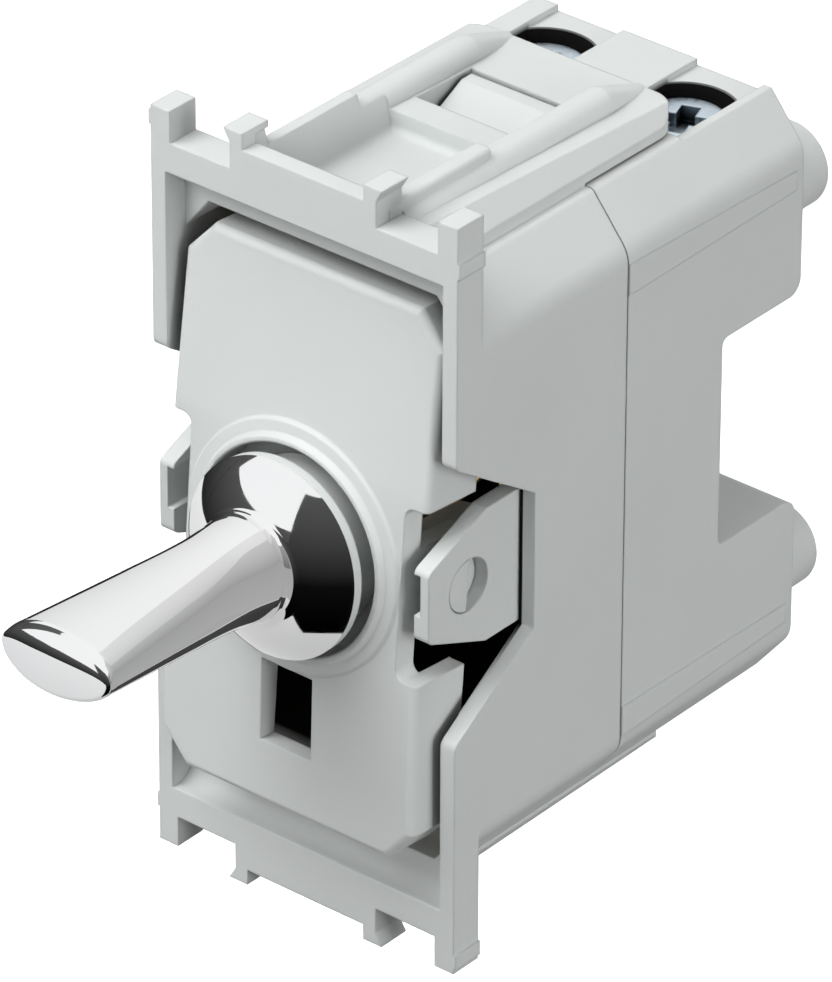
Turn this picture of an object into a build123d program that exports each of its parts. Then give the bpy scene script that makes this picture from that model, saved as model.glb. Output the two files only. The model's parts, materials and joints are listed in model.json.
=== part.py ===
from build123d import *
import math
import os

# Intermediate wall switch, one module wide, with a chrome toggle lever on a tilting rocker plate.
# Millimetres. X is across the front, Y runs from the front face into the wall, Z is up.
# Origin: centre of the mounting frame's front plane.

# Overall sizes that the rest follows
MODULE_W = 22.5
POST_H = 49.4
WALL = 1.1

# Front frame
FRAME_D = 2.24
RAIL_W = 1.06
OPEN_END = 3.99
BAR_SET = 2.04
BAR_MID_SET = 0.57
POST_W = 1.43
HOOK_IN = 8.86
HOOK_T = 0.93
HOOK_LIP = 0.475
HOOK_PROUD = 0.445
HOOK_SLANT = 0.8
NUB_PROUD = 0.15
NUB_H = 0.95
NUB_INNER_SET = 2.73
NUB_OUTER_SET = 0.8
LIP_SET = 1.66
LIP_FILLET = 1.2

# Housing body
SEAM_Y = 15.21
SEAM_GAP = 0.1
BACK_Y = 31.54
BODY_SET = 4.85
BEVEL_W = 2.65
BEVEL_H = 3.29
BEVEL_WALL = 0.2
BODY_CORNER_R = 2.0
BODY_EDGE_R = 0.5
SIDE_NOTCH_H = 18.4
SIDE_NOTCH_D = 7.05
SIDE_NOTCH_BACK_H = 9.1
SIDE_NOTCH_R = 0.6

# Top and bottom deck of the front shell, heights above the body's flat top
DECK_SIDE_SET = 3.18
DECK_EDGE_RISE = 0.8
DECK_RISE = 2.46
DECK_SIDE_LEAN = 38.0
DECK_SLOPE = 0.033
DECK_BACK = 24.15
DECK_CORNER_R = 2.1
DECK_GAP = 0.15
DECK_ROOT = 0.5
RIB_IN = 3.85
RIB_OUT = 5.4
RIB_RISE = 3.7
RIB_EDGE_R = 0.3
RIB_BLOCK_END = 10.0
RIB_ROUND_X = 4.9
RIB_ROUND_R = 1.05
RIB_ROUND_RISE = 3.12
RIB_TAIL = 3.8
RIB_TAIL_R = 0.6
RIB_TAIL_PROUD = 0.12
POCKET_W = 7.28
POCKET_LEAN = 15.0
POCKET_START = 1.2
POCKET_END = 12.2
POCKET_RISE = 0.75
POCKET_R = 0.5
WINDOW_START = 14.35
WINDOW_END = 19.3

# Rear cover
RECESS_SET = 12.85
RECESS_Y = 24.2
RECESS_R = 1.0
RECESS_IN_R = 0.5
COVER_TOP_SET = 0.2
COVER_LOW_SET = 0.61
LEDGE_Y = 17.2
LEDGE_SIDE = 1.15
LEDGE_END = 1.75
INNER_BACK_Y = 23.4
LUG_W = 6.8
LUG_SHIFT = 0.1
LUG_START = 15.8
LUG_RAMP_END = 18.0
LUG_END = 18.9
LUG_LOW_RISE = 0.65
LUG_HIGH_RISE = 1.75
STRIP_PROUD = 0.08
STRIP_SINK = 0.3
STRIP_END = 30.9
STRIP_HIGH_SET = 0.71
STRIP_LOW_SET = 2.74
STRIP_NARROW = 0.5

# Terminals: four, two at the top and two at the bottom
TERM_MARGIN = 6.05
TERM_SHIFT = 0.8
TERM_Y = 26.75
WELL_R = 3.25
WELL_HALF_LEFT = 2.7
WELL_HALF_RIGHT = 2.2
HEAD_SET = 1.25
HEAD_T = 1.3
HEAD_R = 2.8
HEAD_EDGE = 0.2
HEAD_PLAY = 0.06
SCREW_R = 1.75
SCREW_PLAY = 0.05
SHANK_PLAY = 0.15
SHELF_T = 0.5
SLOT_W = 0.8
SLOT_L = 4.0
CROSS_W = 1.15
CROSS_L = 3.3
CROSS_ANGLE = 20.0
RECESS_DEEP = 1.0
CAGE_W = 5.6
CAGE_L = 5.0
CAGE_PLATE = 1.0
CAGE_FLOOR = 0.9
CAGE_WALL = 0.8
CAGE_R = 0.4
CAGE_MOUTH = 2.5
CAGE_TRAVEL = 1.2
CHAMBER_PLAY = 0.15
STRIP_T = 0.8
STRIP_W = 3.8
SEAT_GAP = 0.05
SLOT_PLAY = 0.1
BOSS_R = 2.74
BOSS_DROP = 5.64
BOSS_HALF = 1.73
BOSS_L = 3.76
BOSS_EDGE = 0.5
BOSS_ROOT = 0.5
ENTRY_R = 1.6
ENTRY_HALF = 1.4
ENTRY_DROP = 0.35
FUNNEL_R = 2.15
FUNNEL_HALF = 1.73
FUNNEL_START = 29.8

# Rocker plate, drawn upright and then tilted to its resting position
TILT = 4.8
PIVOT_Y = 2.6
PLATE_SIDE_GAP = 0.69
PLATE_END_GAP = 3.11
PLATE_FACE = -0.96
PLATE_T = 1.6
PLATE_FLAT_H = 12.4
PLATE_LEAN = 3.0
PLATE_CORNER_X = 1.85
PLATE_CORNER_Z = 2.1
PLATE_EDGE_R = 0.5
NOTCH_GAP = 1.04
NOTCH_H = 11.1
NOTCH_R = 0.7
SKIRT_T = 1.1
SKIRT_Y = 3.4
RING_SET = 1.6
RING_OUT_W = 0.65
RING_MID_W = 0.25
RING_IN_W = 0.48
RING_ROOT = 0.5
COLLAR_Y = -1.6
COLLAR_EDGE = 0.1
RING_STEP_Y = -1.2
RING_SLANT = 0.15
COLLAR_FLOOR_Y = 0.48
COLLAR_FLOOR_T = 1.3
COLLAR_FLOOR_MARGIN = 0.98
SLOT_WIN_W = 3.8
SLOT_WIN_END = 4.2
SLOT_WIN_GAP = 0.05
TRUNNION_R = 1.65
TRUNNION_CLEAR = 0.08
TRUNNION_LUG = 4.6
TRUNNION_ROOT = 1.2
TRUNNION_FLAT = 0.85
LUG_PAST_PIVOT = 2.0

# Lever, drawn upright about the pivot
RIM_Y = -2.9
RIM_PROUD = 0.04
COLLET_PLAY = 0.37
COLLET_L = 0.7
COLLET_NECK = 0.95
STALK_RISE = 0.25
FLARE_SHARE = 0.32
STALK_L = 15.77
STALK_TIP_DOME = 14.0
STALK_TIP_EDGE = 0.3
# Sections of the stalk: distance in front of the dome's crown, half width, half height
STALK = (
    (-1.88, 3.9, 3.89),
    (-0.08, 3.2, 3.19),
    (2.82, 2.93, 2.9),
    (7.32, 3.2, 2.7),
    (11.82, 3.53, 2.45),
    (16.32, 3.79, 2.21),
)
STUD_R = 2.0
STUD_CLEAR = 0.05
LEVER_SCREW_R = 1.0
LEVER_SCREW_HEAD_R = 2.2
LEVER_SCREW_HEAD_T = 1.3
LEVER_SCREW_DEEP = 1.5
LEVER_BORE_DEEP = 2.0

# Contact mechanism
ARM_T = 1.06
ARM_PLAY = 0.1
ARM_TIP_Y = -0.95
ARM_TIP_H = 4.6
ARM_H = 8.8
ARM_SLANT_Y = 4.15
ARM_R = 0.5
ARM_GROOVE_T = 0.46
ARM_GROOVE_LOW = -0.7
ARM_GROOVE_HIGH = 2.0
BASE_Y = 15.9
BASE_T = 1.25
BASE_END_GAP = 1.45
NOSE_Y = 13.35
KNIFE_R = 0.2
KNIFE_TAPER = 0.8
KNIFE_GAP = 0.05
KNIFE_MOUTH = 0.35
CONTACT_TILT = 4.8
CONTACT_T = 0.6
CONTACT_SET = 0.1
CONTACT_W = 3.4
CONTACT_HALF_H = 8.2
CONTACT_END_R = 0.6
CONTACT_Z = 6.95
RIVET_R = 1.2
RIVET_H = 0.5
RIVET_DOME_R = 3.7
RIVET_SHANK_R = 0.7
RIVET_PLAY = 0.02
TAIL_R = 1.0
TAIL_H = 0.2
EAR_T = 0.5
EAR_HALF_H = 1.2
EAR_REACH = 1.9
PAD_LOW = 5.3
PAD_HIGH = 8.6
LEG_LAP = 0.5
LINK_W = 2.4
COMMON_LEG_Y = 21.6
COMMON_NECK_W = 3.0
POST_OUT_R = 1.95
POST_Y = 7.6
POST_WALL = 0.6
PLUNGER_R = 1.2
PLUNGER_PLAY = 0.05
PLUNGER_START = 5.2
PLUNGER_STEP = 11.1
PLUNGER_NOSE_R = 0.9
PLUNGER_GAP = 0.08
SPRING_WIRE_R = 0.16
SPRING_PLAY = 0.2
SPRING_TURNS = 5

# Sizes worked out from those above
HALF_W = MODULE_W / 2
TOL = 0.01
FAR = 2 * POST_H
OPEN_W = MODULE_W - 2 * RAIL_W
OPEN_H = POST_H - 2 * OPEN_END
BAR_H = POST_H - 2 * BAR_SET
BAR_MID_H = POST_H - 2 * BAR_MID_SET
HOOK_H = POST_H + 2 * HOOK_PROUD
BODY_H = POST_H - 2 * BODY_SET
BODY_TOP = BODY_H / 2
BODY_FLAT_W = MODULE_W - 2 * BEVEL_W
BODY_CORNER_Z = BODY_TOP - BEVEL_H
CAVITY_W = MODULE_W - 2 * WALL
CAVITY_H = BODY_H - 2 * WALL
CAVITY_FLAT_W = BODY_FLAT_W - 2 * BEVEL_WALL
DECK_W = MODULE_W - 2 * DECK_SIDE_SET
DECK_EDGE_Z = BODY_TOP + DECK_EDGE_RISE
DECK_FRONT_Z = BODY_TOP + DECK_RISE
RIB_TOP = BODY_TOP + RIB_RISE
RIB_ROUND_TOP = BODY_TOP + RIB_ROUND_RISE
POCKET_FLOOR = BODY_TOP + POCKET_RISE
RECESS_H = BODY_H - 2 * RECESS_SET
COVER_TOP = BODY_TOP - COVER_TOP_SET
COVER_LOW = BODY_TOP - COVER_LOW_SET
TERM_X = (TERM_SHIFT - HALF_W + TERM_MARGIN, TERM_SHIFT + HALF_W - TERM_MARGIN)
HEAD_TOP = BODY_TOP - HEAD_SET
BOSS_Z = HEAD_TOP - BOSS_DROP
PLATE_W = OPEN_W - 2 * PLATE_SIDE_GAP
PLATE_H = OPEN_H - 2 * PLATE_END_GAP
PLATE_BACK = PLATE_FACE + PLATE_T
RING_OUT_R = PLATE_W / 2 - RING_SET
RING_MID_R = RING_OUT_R - RING_OUT_W
RING_IN_R = RING_MID_R - RING_MID_W
COLLAR_R = RING_IN_R - RING_IN_W
COLLET_R = COLLAR_R - COLLET_PLAY
DOME_R = math.hypot(COLLET_R + RIM_PROUD, PIVOT_Y - RIM_Y)
CROWN_Y = PIVOT_Y - DOME_R
STALK_TIP_Y = CROWN_Y - STALK_L
ARM_OUT = CAVITY_W / 2 - ARM_PLAY
NOTCH_HALF = ARM_OUT - ARM_T - NOTCH_GAP
POST_FLOOR = PLATE_BACK + POST_WALL
CAGE_TOP_REST = HEAD_TOP - HEAD_T - SHELF_T - 2 * SEAT_GAP - CAGE_TRAVEL
BAR_TOP = CAGE_TOP_REST - CAGE_PLATE - SEAT_GAP
BAR_LOW = BAR_TOP - STRIP_T
BAR_END = TERM_Y + CAGE_L / 2 - SLOT_PLAY
CAGE_BOTTOM = BAR_LOW - CAGE_MOUTH - CAGE_FLOOR
PAD_Y = BASE_Y - SEAT_GAP - STRIP_T
BASE_BACK = BASE_Y + BASE_T
REAR_LINK_Y = BASE_BACK + SEAT_GAP
CONTACT_BACK = NOSE_Y + CONTACT_SET
CONTACT_FRONT = CONTACT_BACK - CONTACT_T


# Helpers


def along_x(points, x0, x1):
    return extrude(Plane.YZ.offset(x0) * make_face(Polyline(*points, close=True)), amount=x1 - x0)


def along_y(points, y0, y1):
    return extrude(Plane.XZ.offset(-y0) * make_face(Polyline(*points, close=True)), amount=y0 - y1)


def block(x0, x1, y0, y1, z0, z1):
    return Pos((x0 + x1) / 2, (y0 + y1) / 2, (z0 + z1) / 2) * Box(x1 - x0, y1 - y0, z1 - z0)


def rod_x(radius, x0, x1, y, z):
    return Pos((x0 + x1) / 2, y, z) * Rot(0, 90, 0) * Cylinder(radius, x1 - x0)


def rod_y(radius, y0, y1, x=0, z=0):
    return Pos(x, (y0 + y1) / 2, z) * Rot(90, 0, 0) * Cylinder(radius, y1 - y0)


def rod_z(radius, z0, z1, x, y):
    return Pos(x, y, (z0 + z1) / 2) * Cylinder(radius, z1 - z0)


def mirrored_outline(quarter):
    # Full closed outline from the points of its upper right quarter
    top = quarter + [(-x, z) for x, z in reversed(quarter)]
    return top + [(x, -z) for x, z in reversed(top)]


def flip_z(shape):
    return mirror(shape, about=Plane.XY)


def flip_x(shape):
    return mirror(shape, about=Plane.YZ)


def vertical_edges(shape):
    return shape.edges().filter_by(Axis.Z)


def tilted(shape, angle, pivot_y):
    return Pos(0, pivot_y, 0) * Rot(angle, 0, 0) * Pos(0, -pivot_y, 0) * shape


# Housing


def body_prism(y0, y1, top):
    # Outer section of the housing: flat top, bevelled and rounded long corners
    quarter = [(HALF_W, BODY_CORNER_Z), (BODY_FLAT_W / 2, top)]
    solid = along_y(mirrored_outline(quarter), y0, y1)
    long_edges = solid.edges().filter_by(Axis.Y)
    outer = long_edges.filter_by(lambda e: abs(e.center().X) > HALF_W - TOL)
    solid = fillet(outer, BODY_CORNER_R)
    inner = solid.edges().filter_by(Axis.Y).filter_by(lambda e: abs(abs(e.center().Z) - top) < TOL)
    return fillet(inner, BODY_EDGE_R)


def cavity_prism(y0, y1, inset_x=0.0, inset_z=0.0):
    side = CAVITY_W / 2 - inset_x
    quarter = [(side, BODY_CORNER_Z - inset_x), (CAVITY_FLAT_W / 2 - inset_x, CAVITY_H / 2 - inset_z)]
    return along_y(mirrored_outline(quarter), y0, y1)


def front_frame():
    hook_out = HOOK_IN / 2 + HOOK_T
    post_in = HALF_W - POST_W
    quarter = [
        (HALF_W, POST_H / 2),
        (post_in, POST_H / 2),
        (post_in, BAR_H / 2),
        (hook_out, BAR_H / 2),
        (hook_out, HOOK_H / 2 - HOOK_SLANT),
        (hook_out + HOOK_LIP, HOOK_H / 2),
        (HOOK_IN / 2, HOOK_H / 2),
        (HOOK_IN / 2, BAR_MID_H / 2),
    ]
    frame = along_y(mirrored_outline(quarter), 0, FRAME_D)
    for side in (-1, 1):
        for end in (-1, 1):
            x = side * (HALF_W + NUB_PROUD / 2)
            z = end * (POST_H / 2 - (NUB_INNER_SET if side == end else NUB_OUTER_SET))
            frame += Pos(x, FRAME_D / 2, z) * Box(NUB_PROUD, FRAME_D, NUB_H)
    return frame


def deck_top(y):
    return DECK_FRONT_Z - DECK_SLOPE * y


def deck_slab():
    # Raised deck over the top of the housing, falling slightly as it runs back over the rear cover
    low = BODY_TOP - DECK_ROOT
    half = DECK_W / 2
    crest = half - (DECK_FRONT_Z - DECK_EDGE_Z) * math.tan(math.radians(DECK_SIDE_LEAN))
    section = [(half, low), (half, DECK_EDGE_Z), (crest, DECK_FRONT_Z)]
    section += [(-x, z) for x, z in reversed(section)]
    start = FRAME_D / 2
    side = [(start, low), (start, deck_top(start)), (DECK_BACK, deck_top(DECK_BACK)), (DECK_BACK, low)]
    slab = along_y(section, start, DECK_BACK) & along_x(side, -half, half)
    plan = block(-half, half, 0, DECK_BACK, 0, POST_H)
    back = vertical_edges(plan).filter_by(lambda e: e.center().Y > DECK_BACK - TOL)
    slab &= fillet(back, DECK_CORNER_R)
    return slab - block(-MODULE_W, MODULE_W, SEAM_Y, FAR, 0, BODY_TOP + DECK_GAP)


def deck_rib():
    # One rib: a square front length, then a rounded length that runs out at the back
    root = deck_top(DECK_BACK) - DECK_ROOT
    front = block(RIB_IN, RIB_OUT, FRAME_D / 2, RIB_BLOCK_END, root, RIB_TOP)
    outer = front.edges().filter_by(Axis.Y).filter_by(
        lambda e: e.center().X > RIB_OUT - TOL and e.center().Z > RIB_TOP - TOL
    )
    front = fillet(outer, RIB_EDGE_R)
    tail_start = DECK_BACK - RIB_TAIL
    centre_z = RIB_ROUND_TOP - RIB_ROUND_R
    end_z = deck_top(DECK_BACK) + RIB_TAIL_PROUD - RIB_TAIL_R
    rounded = rod_y(RIB_ROUND_R, FRAME_D, tail_start, RIB_ROUND_X, centre_z)
    thick = Pos(RIB_ROUND_X, tail_start, centre_z) * Rot(90, 0, 0) * Circle(RIB_ROUND_R)
    thin = Pos(RIB_ROUND_X, DECK_BACK, end_z) * Rot(90, 0, 0) * Circle(RIB_TAIL_R)
    rounded += loft([thick, thin])
    return front + (rounded & block(0, MODULE_W, 0, DECK_BACK, root, FAR))


def deck_cuts():
    rise = POST_H / 2 - POCKET_FLOOR
    low = POCKET_W / 2
    high = low + rise * math.tan(math.radians(POCKET_LEAN))
    section = [(low, POCKET_FLOOR), (high, POST_H / 2), (-high, POST_H / 2), (-low, POCKET_FLOOR)]
    pocket = along_y(section, POCKET_START, POCKET_END)
    pocket = fillet(pocket.edges().filter_by(lambda e: e.center().Z < POCKET_FLOOR + TOL), POCKET_R)
    window = block(-low, low, WINDOW_START, WINDOW_END, BODY_TOP + DECK_GAP, FAR)
    return pocket, window


def side_notch():
    half = SIDE_NOTCH_H / 2
    back = SIDE_NOTCH_BACK_H / 2
    points = [(0, half), (SIDE_NOTCH_D, back), (SIDE_NOTCH_D, -back), (0, -half), (-1, -half), (-1, half)]
    return along_x(points, CAVITY_W / 2 - WALL, HALF_W + WALL)


def front_shell():
    shell = front_frame() + body_prism(FRAME_D / 2, SEAM_Y, BODY_TOP)
    deck = deck_slab()
    for x_flip in (False, True):
        rib = deck_rib()
        deck += flip_x(rib) if x_flip else rib
    pocket, window = deck_cuts()
    shell += deck + flip_z(deck)
    for cut in (pocket, window):
        shell -= cut + flip_z(cut)
    opening = block(-OPEN_W / 2, OPEN_W / 2, -1, LIP_SET, -OPEN_H / 2, OPEN_H / 2)
    lip_edges = opening.edges().filter_by(Axis.X).filter_by(lambda e: e.center().Y > LIP_SET - TOL)
    shell -= fillet(lip_edges, LIP_FILLET)
    shell -= cavity_prism(LIP_SET - TOL, SEAM_Y + 1)
    notch = side_notch()
    shell -= notch + flip_x(notch)
    rail_ends = shell.edges().filter_by(Axis.X).filter_by(
        lambda e: abs(e.center().Y) < TOL and abs(abs(e.center().Z) - SIDE_NOTCH_H / 2) < TOL
    )
    return fillet(rail_ends, SIDE_NOTCH_R)


# Rear cover


def obround_y(radius, half, y0, y1, x, z):
    middle = block(x - half, x + half, y0, y1, z - radius, z + radius)
    return middle + rod_y(radius, y0, y1, x - half, z) + rod_y(radius, y0, y1, x + half, z)


def terminal_boss(x):
    boss = obround_y(BOSS_R, BOSS_HALF, BACK_Y - BOSS_ROOT, BACK_Y + BOSS_L, x, BOSS_Z)
    rim = boss.edges().filter_by(lambda e: e.center().Y > BACK_Y + BOSS_L - TOL)
    return fillet(rim, BOSS_EDGE)


def terminal_cuts(x):
    # Screw well, screw hole, clamp chamber, strip slot and wire entry of one top terminal
    seat = HEAD_TOP - HEAD_T - SEAT_GAP
    well = rod_z(WELL_R, seat, FAR, x, TERM_Y)
    well &= block(x - WELL_HALF_LEFT, x + WELL_HALF_RIGHT, TERM_Y - WELL_R, TERM_Y + WELL_R, 0, FAR)
    well += rod_z(HEAD_R + HEAD_PLAY, seat, HEAD_TOP + SEAT_GAP, x, TERM_Y)
    shank = rod_z(SCREW_R + SHANK_PLAY, BOSS_Z, HEAD_TOP, x, TERM_Y)
    half_w = CAGE_W / 2 + CHAMBER_PLAY
    half_l = CAGE_L / 2 + CHAMBER_PLAY
    top = seat - SHELF_T
    low = CAGE_BOTTOM - SLOT_PLAY
    chamber = block(x - half_w, x + half_w, TERM_Y - half_l, TERM_Y + half_l, low, top)
    slot_half = STRIP_W / 2 + SLOT_PLAY
    slot_low = BAR_LOW - SEAT_GAP
    slot = block(x - slot_half, x + slot_half, INNER_BACK_Y - 1, TERM_Y, slot_low, BAR_TOP + SEAT_GAP)
    entry_z = BAR_LOW - ENTRY_R + ENTRY_DROP
    entry = obround_y(ENTRY_R, ENTRY_HALF, TERM_Y, BACK_Y, x, entry_z)
    entry += obround_y(FUNNEL_R, FUNNEL_HALF, FUNNEL_START, BACK_Y + BOSS_L + 1, x, BOSS_Z)
    return well + shank + chamber + slot + entry


def snap_lug():
    root = BODY_TOP - DECK_ROOT
    points = [
        (LUG_START, root),
        (LUG_START, BODY_TOP + LUG_LOW_RISE),
        (LUG_RAMP_END, BODY_TOP + LUG_HIGH_RISE),
        (LUG_END, BODY_TOP + LUG_HIGH_RISE),
        (LUG_END, root),
    ]
    return along_x(points, LUG_SHIFT - LUG_W / 2, LUG_SHIFT + LUG_W / 2)


def side_strip():
    high = BODY_CORNER_Z - STRIP_HIGH_SET
    low = BODY_CORNER_Z - STRIP_LOW_SET
    points = [
        (SEAM_Y + SEAM_GAP, high),
        (STRIP_END, high - STRIP_NARROW),
        (STRIP_END, low + STRIP_NARROW / 2),
        (SEAM_Y + SEAM_GAP, low),
    ]
    return along_x(points, HALF_W - STRIP_SINK, HALF_W + STRIP_PROUD)


def low_floor(x):
    # The sunk floor round a screw well, between the raised bars of the top face
    return block(x - WELL_HALF_LEFT, x + WELL_HALF_RIGHT, DECK_BACK - 1, FAR, COVER_LOW, FAR)


def rear_cover():
    cover = body_prism(SEAM_Y + SEAM_GAP, BACK_Y, BODY_TOP)
    lowered = block(-MODULE_W, MODULE_W, DECK_BACK - 1, FAR, COVER_TOP, FAR)
    cover -= lowered + flip_z(lowered)
    recess = block(-MODULE_W, MODULE_W, RECESS_Y, FAR, -RECESS_H / 2, RECESS_H / 2)
    inner = recess.edges().filter_by(Axis.X).filter_by(lambda e: e.center().Y < RECESS_Y + TOL)
    cover -= fillet(inner, RECESS_IN_R)
    corners = cover.edges().filter_by(Axis.X).filter_by(
        lambda e: abs(e.center().Y - BACK_Y) < TOL and abs(abs(e.center().Z) - RECESS_H / 2) < TOL
    )
    cover = fillet(corners, RECESS_R)
    lug = snap_lug()
    cover += lug + flip_z(lug)
    strip = side_strip()
    cover += strip + flip_z(strip)
    strip = flip_x(strip)
    cover += strip + flip_z(strip)
    for x in TERM_X:
        boss = terminal_boss(x)
        cover += boss + flip_z(boss)
    cover -= cavity_prism(SEAM_Y - 1, LEDGE_Y)
    cover -= cavity_prism(LEDGE_Y - TOL, INNER_BACK_Y, LEDGE_SIDE, LEDGE_END)
    for x in TERM_X:
        cut = low_floor(x) + terminal_cuts(x)
        cover -= cut
        cover -= flip_z(cut)
    return cover


# Terminals


def terminal_screw(x):
    screw = rod_z(HEAD_R, HEAD_TOP - HEAD_T, HEAD_TOP, x, TERM_Y)
    screw = chamfer(screw.edges().filter_by(GeomType.CIRCLE).sort_by(Axis.Z)[-1], HEAD_EDGE)
    screw += rod_z(SCREW_R, BAR_TOP + SEAT_GAP, HEAD_TOP - HEAD_T, x, TERM_Y)
    cross = Box(CROSS_L, CROSS_W, RECESS_DEEP) + Box(CROSS_W, CROSS_L, RECESS_DEEP)
    recess = cross + Box(SLOT_L, SLOT_W, RECESS_DEEP)
    return screw - Pos(x, TERM_Y, HEAD_TOP - RECESS_DEEP / 2) * Rot(0, 0, CROSS_ANGLE) * recess


def clamp_cage(x):
    top = BAR_TOP + SEAT_GAP + CAGE_PLATE
    y0 = TERM_Y - CAGE_L / 2
    y1 = TERM_Y + CAGE_L / 2
    cage = block(x - CAGE_W / 2, x + CAGE_W / 2, y0, y1, CAGE_BOTTOM, top)
    cage = fillet(cage.edges().filter_by(Axis.Y), CAGE_R)
    inner = CAGE_W / 2 - CAGE_WALL
    cage -= block(x - inner, x + inner, y0 - 1, y1 + 1, CAGE_BOTTOM + CAGE_FLOOR, BAR_TOP + SEAT_GAP)
    return cage - rod_z(SCREW_R + SCREW_PLAY, BAR_TOP, top + 1, x, TERM_Y)


# Contact strips


def common_strip(x):
    # Folded strip from a top terminal to the knife edge that carries a contact rocker
    half = STRIP_W / 2
    neck = COMMON_NECK_W / 2
    strip = block(x - half, x + half, COMMON_LEG_Y, BAR_END, BAR_LOW, BAR_TOP)
    strip += block(x - half, x + half, COMMON_LEG_Y, COMMON_LEG_Y + STRIP_T, -STRIP_T / 2, BAR_TOP)
    blade = [(NOSE_Y, KNIFE_R), (NOSE_Y + KNIFE_TAPER, STRIP_T / 2), (COMMON_LEG_Y + STRIP_T, STRIP_T / 2)]
    blade += [(y, -z) for y, z in reversed(blade)]
    return strip + along_x(blade, x - neck, x + neck) + rod_x(KNIFE_R, x - neck, x + neck, NOSE_Y, 0)


def diagonal(y, rise):
    # Flat crossing strip between the two contact columns, rising or falling to the right
    x0, x1 = TERM_X
    z0 = -rise * CONTACT_Z
    length = math.hypot(x1 - x0, 2 * CONTACT_Z)
    angle = math.degrees(math.atan2(2 * rise * CONTACT_Z, x1 - x0))
    middle = Pos((x0 + x1) / 2, y + STRIP_T / 2, z0 + rise * CONTACT_Z)
    return middle * Rot(0, -angle, 0) * Box(length, STRIP_T, LINK_W)


def contact_pad(x, end):
    low, high = sorted((end * PAD_LOW, end * PAD_HIGH))
    return block(x - CONTACT_W / 2, x + CONTACT_W / 2, PAD_Y, PAD_Y + STRIP_T, low, high)


def output_leg(x, y):
    # From the contact plane down and back into a bottom clamp
    half = STRIP_W / 2
    leg = block(x - half, x + half, y, y + STRIP_T, -BAR_TOP, -PAD_HIGH + LEG_LAP)
    return leg + block(x - half, x + half, y, BAR_END, -BAR_TOP, -BAR_LOW)


def rivet_holes(x, y0, y1, ends):
    holes = None
    for end in ends:
        hole = rod_y(RIVET_SHANK_R + RIVET_PLAY, y0 - 1, y1 + 1, x, end * CONTACT_Z)
        holes = hole if holes is None else holes + hole
    return holes


def link_strip_front():
    left, right = TERM_X
    strip = contact_pad(left, -1) + contact_pad(right, 1) + diagonal(PAD_Y, 1)
    strip += output_leg(left, PAD_Y)
    strip -= rivet_holes(left, PAD_Y, PAD_Y + STRIP_T, (-1,))
    return strip - rivet_holes(right, PAD_Y, PAD_Y + STRIP_T, (1,))


def link_strip_rear():
    left, right = TERM_X
    half = CONTACT_W / 2
    back = REAR_LINK_Y
    strip = diagonal(back, -1)
    for x, end in ((left, 1), (right, -1)):
        strip += contact_pad(x, end)
        low, high = sorted((end * PAD_HIGH, end * (PAD_HIGH + STRIP_T)))
        strip += block(x - half, x + half, PAD_Y, back + STRIP_T, low, high)
        low, high = sorted((end * PAD_LOW, end * (PAD_HIGH + STRIP_T)))
        strip += block(x - half, x + half, back, back + STRIP_T, low, high)
        strip -= rod_y(RIVET_SHANK_R + RIVET_PLAY, PAD_Y - 1, PAD_Y + STRIP_T, x, end * CONTACT_Z)
    return strip + output_leg(right, back)


def fixed_contact(x, end):
    z = end * CONTACT_Z
    head = rod_y(RIVET_R, PAD_Y - RIVET_H + SEAT_GAP, PAD_Y, x, z)
    return head + rod_y(RIVET_SHANK_R, PAD_Y, PAD_Y + STRIP_T, x, z)


def contact_rocker(x):
    # Its back is grooved where it rides on the common strip's knife edge, between two ears
    half = CONTACT_W / 2
    strip = block(x - half, x + half, CONTACT_FRONT, CONTACT_BACK, -CONTACT_HALF_H, CONTACT_HALF_H)
    strip = fillet(strip.edges().filter_by(Axis.Y), CONTACT_END_R)
    ear_in = COMMON_NECK_W / 2 + SLOT_PLAY
    groove = KNIFE_R + KNIFE_GAP
    mouth_y = NOSE_Y + KNIFE_MOUTH
    mouth_z = groove + KNIFE_MOUTH
    mouth = [(NOSE_Y, groove), (mouth_y, mouth_z), (mouth_y, -mouth_z), (NOSE_Y, -groove)]
    strip -= rod_x(groove, x - ear_in, x + ear_in, NOSE_Y, 0) + along_x(mouth, x - ear_in, x + ear_in)
    for side in (-1, 1):
        x0, x1 = sorted((x + side * ear_in, x + side * (ear_in + EAR_T)))
        strip += block(x0, x1, CONTACT_FRONT, CONTACT_BACK + EAR_REACH, -EAR_HALF_H, EAR_HALF_H)
    strip -= rivet_holes(x, CONTACT_FRONT, CONTACT_BACK, (-1, 1))
    return tilted(strip, CONTACT_TILT, NOSE_Y)


def moving_contact(x, end):
    z = end * CONTACT_Z
    rivet = rod_y(RIVET_R, CONTACT_BACK, CONTACT_BACK + RIVET_H, x, z)
    rivet &= Pos(x, CONTACT_BACK + RIVET_H - RIVET_DOME_R, z) * Sphere(RIVET_DOME_R)
    rivet += rod_y(RIVET_SHANK_R, CONTACT_FRONT, CONTACT_BACK, x, z)
    rivet += rod_y(TAIL_R, CONTACT_FRONT - TAIL_H, CONTACT_FRONT, x, z)
    return tilted(rivet, CONTACT_TILT, NOSE_Y)


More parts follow.
